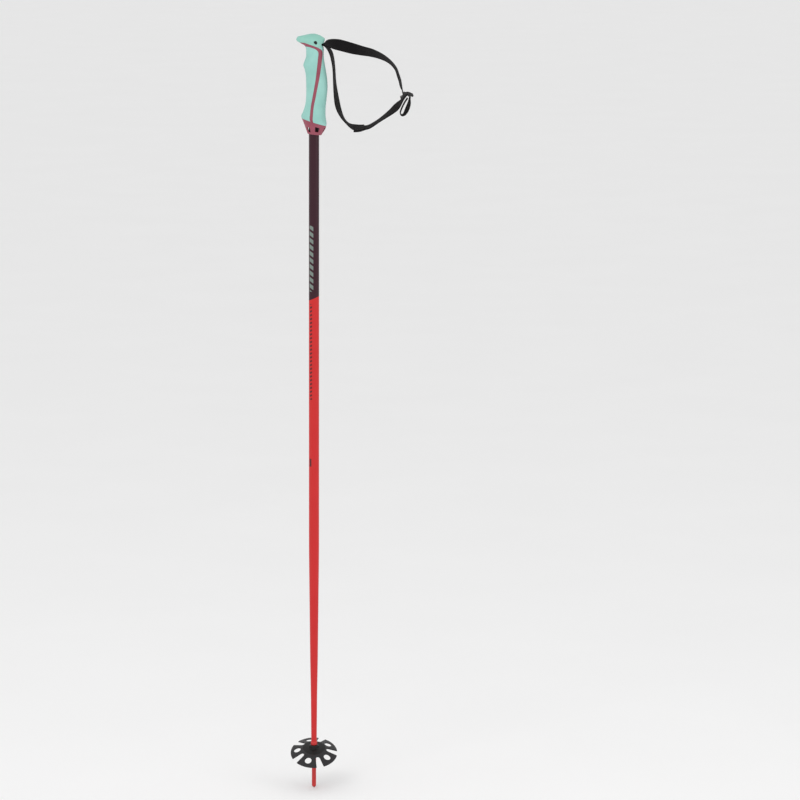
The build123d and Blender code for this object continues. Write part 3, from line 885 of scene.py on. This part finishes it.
def add_plate(shell, rim, hole, top_rise, thickness):
    """Closed ring-shaped plate between a rim and a round hole; rows of points in millimetres."""
    count = len(rim)
    down = np.array([0, 0, -thickness])
    rise = np.array([0, 0, top_rise])
    loops = np.vstack([rim + rise, hole + rise, hole + rise + down, rim + rise + down])
    start = shell.add(to_world(loops))
    for k in range(count):
        n = (k + 1) % count
        for ring in range(4):
            after = (ring + 1) % 4
            corners = [ring * count + k, ring * count + n, after * count + n, after * count + k]
            shell.faces.append([start + c for c in corners])


def build_frame():
    shell = Shell()
    add_band(shell)
    band = shell.object("frame_band", frame_rose)
    round_edges(band, 0.35 * MM)
    skirt = Shell()
    add_bell(skirt)
    bell = skirt.object("frame_bell", frame_rose)
    round_edges(bell, 0.4 * MM)
    plates = Shell()
    turn = 2 * math.pi * np.arange(96) / 96
    rim = grip_point(flange_line(turn), turn) - grip_normal(flange_line(turn), turn) * 1.2
    angle = np.arctan2(rim[:, 1], rim[:, 0])
    hole = np.column_stack([shaft_hole * np.cos(angle), shaft_hole * np.sin(angle)])
    slanted = flange_height - flange_slope * hole[:, 0]
    add_plate(plates, rim, np.column_stack([hole, slanted]), -0.2, bell_ceiling)
    foot = grip_point(np.full(96, 0.6), turn) - grip_normal(np.full(96, 0.6), turn) * 1.0
    add_plate(plates, foot, np.column_stack([hole, foot[:, 2]]), 1.4, 1.8)
    rings = plates.object("frame_plates", frame_rose)
    round_edges(rings, 0.25 * MM)
    return join([band, bell, rings])


def join(pieces):
    """One object from several closed shells."""
    with bpy.context.temp_override(active_object=pieces[0], selected_editable_objects=pieces):
        bpy.ops.object.join()
    return pieces[0]


grip_frame = build_frame()
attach(grip_frame, "pole")
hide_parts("grip_frame")


# ---- Head cap -----------------------------------------------------------------------------------

cap_columns = 216
cap_rows = 56
cap_deep = 3.4
screw_x = 2.8
screw_height = -15.0
recess_r = 3.1
slot_x = 14.0
slot_heights = (-21.1, -16.9)
slot_half_turn = math.radians(34.0)


def build_cap():
    part = upper_border[upper_border[:, 3] >= cap_corner]
    s_line, turn_line = grip_place(part[:, 0], part[:, 1])
    rear_s, _ = grip_place(np.array([12.0]), np.array([cap_rear_height]))
    edge_turn = np.concatenate([[0.0], turn_line[:-1], [math.pi]])
    edge_s = np.concatenate([rear_s, s_line[:-1], s_line[-1:]])
    columns = math.pi + 2 * math.pi * np.arange(cap_columns) / cap_columns
    u, v = np.meshgrid(columns, np.linspace(0, 1, cap_rows))

    def border_s(turn):
        folded = np.abs((turn + math.pi) % (2 * math.pi) - math.pi)
        return np.interp(folded, edge_turn, edge_s)

    def share_of(x, h):
        s, turn = grip_place(np.array([x]), np.array([h]))
        base = border_s(turn)
        return float(turn[0]), float((s[0] - base[0]) / (last_knot - base[0]))

    blocks = []
    _, foot = share_of(slot_x, slot_heights[0])
    _, top = share_of(slot_x, slot_heights[1])
    slot = ((2 * math.pi, (foot + top) / 2), (slot_half_turn, (top - foot) / 2), 0.2)
    blocks.append(shape_opening(u, v, *slot))
    turn_mid, _ = share_of(screw_x, screw_height)
    turn_edge, _ = share_of(screw_x - recess_r, screw_height)
    _, above = share_of(screw_x, screw_height + recess_r)
    _, below = share_of(screw_x, screw_height - recess_r)
    half = (turn_edge - turn_mid, (above - below) / 2)
    for centre in (2 * math.pi - turn_mid, 2 * math.pi + turn_mid):
        blocks.append(shape_opening(u, v, (centre, (above + below) / 2), half, 1.0))
    base = border_s(u)
    s = base + v * (last_knot - base)
    shell = Shell()
    thick_grid(shell, s, u, pad_proud, cap_deep, blocks, ring=True, crown=True)
    made = shell.object("head_cap_shell", cap_mint)
    return round_edges(made, 0.45 * MM)


cap = build_cap()
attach(cap, "pole")
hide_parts("head_cap")

screw = softened("strap_screw_head", "strap_screw", small_black, 0.00016, 2)
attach(screw, "pole")
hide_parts("strap_screw")
barrel = softened("strap_barrel_nut", "strap_barrel", small_black, 0.0002, 2)
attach(barrel, "pole")
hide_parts("strap_barrel")


# ---- Webbing ------------------------------------------------------------------------------------

webbing = 20.0
thick = 1.8
gap = 0.1

# Stations: x, height, and the turn of the width away from Y in degrees; a positive turn brings the
# edge at -Y to the outside of the wrist loop.
upper_stations = [
    (16.3, -18.05, 0),
    (22.0, -17.4, -30),
    (29.0, -17.2, -45),
    (37.0, -18.5, -62),
    (46.2, -20.3, -72),
    (64.5, -25.3, -68),
    (82.4, -29.6, -50),
    (100.7, -33.6, -38),
    (118.6, -40.6, -24),
    (132.4, -49.7, -13),
    (141.9, -60.9, -10),
    (145.8, -71.8, -11),
    (149.1, -81.6, -11),
    (151.1, -91.5, -8),
    (153.6, -98.5, 0),
]
grip_stations = [
    (16.3, -19.95, 0),
    (20.0, -21.8, 5),
    (24.5, -25.6, 11),
    (28.5, -31.5, 16),
    (31.5, -40.6, 15),
    (33.9, -55.0, 12),
    (34.9, -67.0, 11),
    (35.9, -85.0, 13),
    (37.8, -103.4, 20),
    (40.6, -121.5, 25),
    (44.2, -134.0, 21),
    (50.2, -146.5, 10),
    (57.0, -154.8, 6),
    (63.5, -159.8, 14),
    (70.0, -162.4, 25),
    (79.0, -163.2, 24),
    (88.0, -161.6, 16),
]
lower_stations = [
    (97.0, -161.0, 13),
    (113.4, -150.6, 10),
    (132.4, -136.8, 21),
    (141.5, -128.8, 29),
    (147.5, -122.2, 22),
    (152.4, -116.2, 9),
    (156.8, -110.9, 2),
]
tail_stations = [
    (166.2, -112.6, 3),
    (165.4, -120.0, 11),
    (163.1, -127.5, 16),
    (160.0, -134.8, 14),
    (157.0, -139.6, 8),
    (153.6, -141.6, 3),
    (150.6, -140.4, 0),
    (149.8, -136.6, 0),
    (152.6, -128.7, 0),
    (158.0, -118.0, 0),
    (162.4, -111.6, 0),
]
# Round the strap screw inside the head.
root_stations = [
    (9.5, -19.2),
    (4.2, -18.2),
    (0.9, -17.6),
    (-0.6, -15.0),
    (0.4, -12.5),
    (2.8, -11.6),
    (5.4, -12.6),
    (10.2, -15.9),
]
eye_bar = (156.6, -104.0)
grip_bar = (164.6, -105.4)
bar_r = 1.5


def frames_of(stations, loop_side):
    """Centre, unit direction across and outward direction at each station."""
    out = []
    for i, (x, h, turn) in enumerate(stations):
        a, b = stations[max(i - 1, 0)], stations[min(i + 1, len(stations) - 1)]
        run = np.array([b[0] - a[0], b[1] - a[1]]) / math.hypot(b[0] - a[0], b[1] - a[1])
        outward = np.array([-run[1], run[0]]) * loop_side
        lean, square = math.sin(math.radians(turn)), math.cos(math.radians(turn))
        across = (outward[0] * lean, -square, outward[1] * lean)
        normal = (outward[0] * square, lean, outward[1] * square)
        out.append(((x, 0.0, h), across, normal))
    return out


def wrapped(bar, start, end, steps):
    """Stations round a bar of the slider."""
    radius = bar_r + gap + thick / 2
    angles = [math.radians(start + (end - start) * k / steps) for k in range(steps + 1)]
    return [(bar[0] + radius * math.cos(a), bar[1] + radius * math.sin(a), 0) for a in angles]


def rows_of(frames):
    return [(*centre, *across) for centre, across, _ in frames]


def stacked(frames, step):
    """The same frames one layer further out."""
    out = []
    for centre, across, normal in frames:
        moved = tuple(c + step * n for c, n in zip(centre, normal))
        out.append((moved, across, normal))
    return out


def relaxed(rows, passes):
    """Ease the bends of a sampled ribbon, with its ends held."""
    rows = rows.copy()
    for _ in range(passes):
        rows[1:-1] += 0.5 * ((rows[:-2] + rows[2:]) / 2 - rows[1:-1])
    return rows


def ribbon_frames(rows):
    """Tangent, across and normal along sampled rows."""
    centre, across = rows[:, :3], rows[:, 3:6]
    tangent = np.gradient(centre, axis=0)
    tangent /= np.linalg.norm(tangent, axis=1, keepdims=True)
    across = across - (across * tangent).sum(1, keepdims=True) * tangent
    across /= np.linalg.norm(across, axis=1, keepdims=True)
    return centre, tangent, across, np.cross(tangent, across)


def web_section():
    """Outline of the webbing: offset across and through, with rolled selvedges."""
    half, t = webbing / 2, thick / 2
    flat = np.linspace(-1, 1, 17) * (half - 1.3)
    swell = t * (0.94 + 0.05 * np.cos(flat / half * 5.5))
    bead = [(half - 0.75, t * 0.98), (half - 0.3, t * 0.8), (half, t * 0.32)]
    top = [(-a, b) for a, b in reversed(bead)] + list(zip(flat, swell)) + bead
    return np.array(top + [(a, -b) for a, b in reversed(top)])


pinch = 0.28  # share of the width gathered in where the webbing enters the head
pinch_x = (15.0, 24.0)


def gathered(x):
    """Width of the webbing as a share of its full width, at distance x from the shaft's axis."""
    t = np.clip((x - pinch_x[0]) / (pinch_x[1] - pinch_x[0]), 0, 1)
    return 1 - pinch * (1 - t * t * (3 - 2 * t))


def ribbon(name, rows, wave_seed):
    """Webbing swept along sampled rows, with its own coordinates for the weave."""
    centre, tangent, across, normal = ribbon_frames(rows)
    section = web_section()
    run = np.concatenate([[0], np.cumsum(np.linalg.norm(np.diff(centre, axis=0), axis=1))])
    wander = np.random.default_rng(wave_seed).uniform(0, 2 * math.pi, 3)
    width = gathered(centre[:, 0]) * (1 + 0.006 * np.sin(run / 9.0 + wander[0]))
    cup = 0.10 * np.sin(run / 21.0 + wander[1])
    shell = Shell()
    count = len(section)
    for k in range(len(centre)):
        a = section[:, :1] * width[k]
        through = section[:, 1:] + cup[k] * (1 - (section[:, :1] / (webbing / 2)) ** 2)
        points = centre[k] + a * across[k] + through * normal[k]
        shell.add(to_world(points))
        side = np.sign(section[:, 1])
        shell.weave.extend(zip(np.full(count, run[k] * MM), section[:, 0] * MM, side))
    for k in range(len(centre) - 1):
        for j in range(count):
            n = (j + 1) % count
            shell.faces.append([k * count + j, k * count + n, (k + 1) * count + n, (k + 1) * count + j])
    shell.faces.append(list(range(count)))
    shell.faces.append([(len(centre) - 1) * count + j for j in reversed(range(count))])
    return shell.object(name, webbing_black, 50.0)


web_step = 1.1
grip_frames = frames_of(grip_stations, -1)
upper_frames = frames_of(upper_stations + wrapped(eye_bar, 165, 435, 9), 1)
root_rows = [(x, 0.0, h, 0.0, -1.0, 0.0) for x, h in root_stations]
loop_rows = rows_of(grip_frames)[::-1] + root_rows + rows_of(upper_frames)
loop_rows = relaxed(smooth_path(loop_rows, web_step), 6)
strap_loop = ribbon("strap_loop_webbing", loop_rows, 3)
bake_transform(strap_loop)
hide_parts("strap_upper_run", "strap_grip_run", "strap_root")

# The outer layer's cut end springs away from the layer under it.
end_turns = (8, 8, 2, 0)
end_springs = (1.2, 0.2, 0.0)
end_stations = [(x, h, turn + more) for (x, h, turn), more in zip(grip_stations[-4:], end_turns)]
end_frames = frames_of(end_stations, -1)[1:]
overlap_frames = [stacked([end], thick + gap + spring)[0] for end, spring in zip(end_frames, end_springs)]
adjust_stations = lower_stations + wrapped(grip_bar, 160, 370, 7)
adjust_frames = overlap_frames + frames_of(adjust_stations, -1)
tail_frames = frames_of(tail_stations, 1)
adjust_rows = rows_of(adjust_frames) + rows_of(tail_frames[:1])
adjust_rows = relaxed(smooth_path(adjust_rows, web_step), 3)
strap_lower = ribbon("strap_lower_webbing", adjust_rows, 5)
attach(strap_lower, "wrist_strap")
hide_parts("strap_lower_run")

tail_rows = relaxed(smooth_path(rows_of(tail_frames), web_step), 3)
strap_tail = ribbon("strap_tail_webbing", tail_rows, 7)
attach(strap_tail, "strap_tail")
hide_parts("strap_tail_loop")

slider = softened("ladder_slider", "strap_slider", small_black, 0.00024, 3)
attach(slider, "wrist_strap")
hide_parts("strap_slider")


# ---- Stitching ----------------------------------------------------------------------------------

thread_r = 0.24
stitch = 2.4
stitch_gap = 0.7


def add_stitch(shell, middle, along, out, length):
    """One rounded stitch lying on the webbing."""
    side = np.cross(along, out)
    profile = [(-0.5, 0.0), (-0.46, 0.7), (-0.25, 1.0), (0.25, 1.0), (0.46, 0.7), (0.5, 0.0)]
    rings = []
    for share, swell in profile:
        hub = middle + along * share * length
        if swell == 0:
            rings.append([shell.add([to_world(hub)])] * 8)
            continue
        angles = [2 * math.pi * k / 8 for k in range(8)]
        ring = [hub + thread_r * swell * (math.cos(a) * out + math.sin(a) * side) for a in angles]
        start = shell.add([to_world(p) for p in ring])
        rings.append(list(range(start, start + 8)))
    for low, high in zip(rings, rings[1:]):
        for k in range(8):
            n = (k + 1) % 8
            face = list(dict.fromkeys([low[k], low[n], high[n], high[k]]))
            shell.faces.append(face)


def stitch_rows(shell, rows, first, last, offsets, rise):
    """Lengthwise rows of stitches between two distances along a ribbon."""
    centre, tangent, across, normal = ribbon_frames(rows)
    run = np.concatenate([[0], np.cumsum(np.linalg.norm(np.diff(centre, axis=0), axis=1))])
    pitch = stitch + stitch_gap
    for offset in offsets:
        for k in range(int((last - first) / pitch)):
            at = int(np.argmin(np.abs(run - (first + (k + 0.5) * pitch))))
            middle = centre[at] + across[at] * offset + normal[at] * rise
            add_stitch(shell, middle, tangent[at], normal[at], stitch)


cross_offsets = np.arange(-8.0, 8.1, 3.2)


def length_of(rows):
    return float(np.linalg.norm(np.diff(rows[:, :3], axis=0), axis=1).sum())


def cross_rows(shell, rows, places, rise):
    """Rows of stitches across the webbing."""
    centre, tangent, across, normal = ribbon_frames(rows)
    run = np.concatenate([[0], np.cumsum(np.linalg.norm(np.diff(centre, axis=0), axis=1))])
    for place in places:
        at = int(np.argmin(np.abs(run - place)))
        for offset in cross_offsets:
            middle = centre[at] + across[at] * offset + normal[at] * rise
            add_stitch(shell, middle, across[at], normal[at], stitch)


surface_rise = thick / 2 + thread_r * 0.35
run_offsets = (-8.2, -7.2, -0.5, 0.5, 7.2, 8.2)


outer_seam = (1.5, 21.0)  # along the outer layer from its cut end
inner_seam = (1.0, 19.0)  # along the inner layer from its cut end
slider_tacks = (26.0, 22.0)  # back from the end round the slider's bar
tail_tacks = (4.0, 60.0)  # back from the tail's end


def sewn(name, node, body, build):
    shell = Shell()
    build(shell)
    made = shell.object(name, thread_black, 60.0)
    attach(made, body)
    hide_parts(node)


def sew_overlap(shell):
    for rise in (-surface_rise, surface_rise):
        stitch_rows(shell, adjust_rows, *outer_seam, run_offsets, rise)
    for rise in (surface_rise, -surface_rise):
        stitch_rows(shell, loop_rows, *inner_seam, run_offsets, rise)


def sew_slider(shell):
    length = length_of(loop_rows)
    for rise in (surface_rise, -surface_rise):
        cross_rows(shell, loop_rows, [length - back for back in slider_tacks], rise)


def sew_tail(shell):
    length = length_of(tail_rows)
    cross_rows(shell, tail_rows, [length - back for back in tail_tacks], surface_rise)


sewn("overlap_stitches", "overlap_stitching", "wrist_strap", sew_overlap)
sewn("slider_stitches", "slider_stitching", "wrist_strap", sew_slider)
sewn("tail_stitches", "tail_stitching", "strap_tail", sew_tail)

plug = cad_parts["shaft_plug"]
plug.data.materials.clear()
plug.data.materials.append(plain_black)


# ---- Stage and finish ---------------------------------------------------------------------------


world_strength = 0.82
# Name, place, target, size and power of each soft light.
soft_lights = [
    ("key", (-1.6, -2.6, 3.0), (0, 0, 0.9), 1.6, 26.0),
    ("fill", (2.4, -1.6, 1.6), (0, 0, 0.8), 1.8, 9.0),
]
floor_reach = 40


def build_floor():
    """Plain pale floor reaching far behind the object."""
    pale = Surface("pale_floor")
    pale.colour(pale.mix(pale.noise(3.0), (0.95, 0.95, 0.95, 1.0), (0.98, 0.98, 0.98, 1.0)))
    pale.rough(pale.span(pale.noise(40.0), 0.3, 0.7, 0.75, 0.85))
    shell = Shell()
    reach = floor_reach
    shell.add([(-reach, -reach, 0), (reach, -reach, 0), (reach, reach, 0), (-reach, reach, 0)])
    shell.faces.append([0, 1, 2, 3])
    made = shell.object("floor", pale.material)


set_camera()
bpy.context.scene.view_settings.view_transform = "Standard"
set_world(world_strength)
for soft_light in soft_lights:
    add_light(*soft_light)
build_floor()
